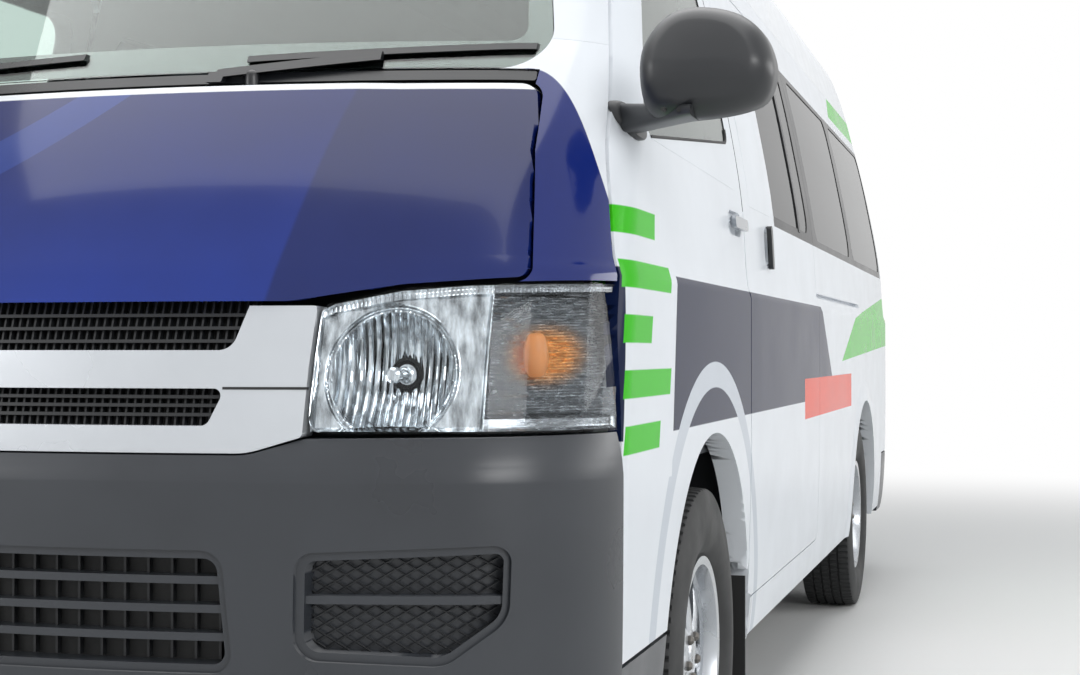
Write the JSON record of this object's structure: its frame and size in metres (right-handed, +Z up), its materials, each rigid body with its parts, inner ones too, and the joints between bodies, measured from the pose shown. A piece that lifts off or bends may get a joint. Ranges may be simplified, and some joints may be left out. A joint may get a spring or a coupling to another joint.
{
  "type": "high-roof passenger minibus",
  "caption": "Cab-over high-roof minibus with opening front doors, hood and tailgate, steered front wheels and rolling wheels.",
  "frame": {"origin": "on the ground under the middle of the vehicle's length and width", "axes": "+Z up, -Y towards the nose, +X towards the side with the sliding door"},
  "size_m": [2.3428, 5.38, 2.285],
  "materials": {
    "body_paint": "gloss white paint with blue, green and orange film",
    "hood_film": "gloss blue film over paint",
    "silver_paint": "silver painted plastic",
    "grained_plastic": "charcoal grained moulded plastic",
    "black_plastic": "black moulded plastic",
    "clear_glass": "clear laminated glass",
    "tinted_glass": "dark tinted glass",
    "lens": "clear polycarbonate",
    "reflector": "bright reflector",
    "red_lens": "red moulded lens",
    "tyre": "black tyre rubber",
    "alloy": "silver painted alloy",
    "chassis": "black chassis paint",
    "cast": "cast iron",
    "cabin_plastic": "grey moulded trim",
    "seat_fabric": "dark grey woven fabric",
    "floor_mat": "grey rubber mat",
    "rubber": "black rubber",
    "steel": "bare steel"
  },
  "bodies": {
    "root": {"roof": "body_paint", "cab_frame": "body_paint", "corner_panels": "body_paint", "left_side_panel": "body_paint", "right_side_panel": "body_paint", "sliding_door": "body_paint", "side_windows": "tinted_glass", "windscreen": "clear_glass", "cowl": "black_plastic", "wipers": "black_plastic", "grille": "silver_paint", "grille_slats": "black_plastic", "front_bumper": "grained_plastic", "headlamp_housings": "reflector", "headlamp_lenses": "lens", "step_trims": "grained_plastic", "rear_bumper": "grained_plastic", "tail_lamps": "red_lens", "floor_pan": "floor_mat", "bulkhead": "chassis", "dashboard": "cabin_plastic", "steering_wheel": "cabin_plastic", "seats": "seat_fabric", "seat_bases": "cabin_plastic", "chassis_rails": "chassis", "front_suspension": "chassis", "rear_axle": "cast", "engine": "cast", "radiator": "black_plastic", "fuel_tank": "chassis", "exhaust": "steel", "spare_wheel": "tyre", "mud_flaps": "rubber"},
    "hood": {"hood": "hood_film"},
    "tailgate": {"tailgate": "body_paint", "tailgate_glass": "tinted_glass"},
    "door_left": {"door_left": "body_paint", "door_glass_left": "tinted_glass", "mirror_left": "black_plastic"},
    "knuckle_left": {"knuckle_left": "cast"},
    "wheel_front_left": {"tyre_front_left": "tyre", "rim_front_left": "alloy"},
    "wheel_rear_left": {"tyre_rear_left": "tyre", "rim_rear_left": "alloy"},
    "door_right": {"door_right": "body_paint", "door_glass_right": "tinted_glass", "mirror_right": "black_plastic"},
    "knuckle_right": {"knuckle_right": "cast"},
    "wheel_front_right": {"tyre_front_right": "tyre", "rim_front_right": "alloy"},
    "wheel_rear_right": {"tyre_rear_right": "tyre", "rim_rear_right": "alloy"}
  },
  "joints": [
    {"name": "steer_left", "type": "hinge", "parent": "root", "child": "knuckle_left", "pos_m": [0.7025, -1.54, 0.345], "axis": [0, 0, 1], "range_deg": [-34, 34]},
    {"name": "spin_front_left", "type": "hinge", "parent": "knuckle_left", "child": "wheel_front_left", "pos_m": [0.8275, -1.54, 0.345], "axis": [1, 0, 0], "continuous": true},
    {"name": "spin_rear_left", "type": "hinge", "parent": "root", "child": "wheel_rear_left", "pos_m": [0.825, 1.57, 0.345], "axis": [1, 0, 0], "continuous": true},
    {"name": "open_door_left", "type": "hinge", "parent": "root", "child": "door_left", "pos_m": [0.926, -2.33, 0.9], "axis": [0, 0, -1], "range_deg": [0, 68]},
    {"name": "steer_right", "type": "hinge", "parent": "root", "child": "knuckle_right", "pos_m": [-0.7025, -1.54, 0.345], "axis": [0, 0, 1], "range_deg": [-34, 34]},
    {"name": "spin_front_right", "type": "hinge", "parent": "knuckle_right", "child": "wheel_front_right", "pos_m": [-0.8275, -1.54, 0.345], "axis": [1, 0, 0], "continuous": true},
    {"name": "spin_rear_right", "type": "hinge", "parent": "root", "child": "wheel_rear_right", "pos_m": [-0.825, 1.57, 0.345], "axis": [1, 0, 0], "continuous": true},
    {"name": "open_door_right", "type": "hinge", "parent": "root", "child": "door_right", "pos_m": [-0.926, -2.33, 0.9], "axis": [0, 0, 1], "range_deg": [0, 68]},
    {"name": "open_hood", "type": "hinge", "parent": "root", "child": "hood", "pos_m": [0, -2.404, 1.425], "axis": [-1, 0, 0], "range_deg": [0, 58]},
    {"name": "open_tailgate", "type": "hinge", "parent": "root", "child": "tailgate", "pos_m": [0, 2.552, 1.95], "axis": [1, 0, 0], "range_deg": [0, 86]}
  ],
  "couplings": [
    {"joint": "steer_right", "follows": "steer_left", "ratio": 1}
  ]
}
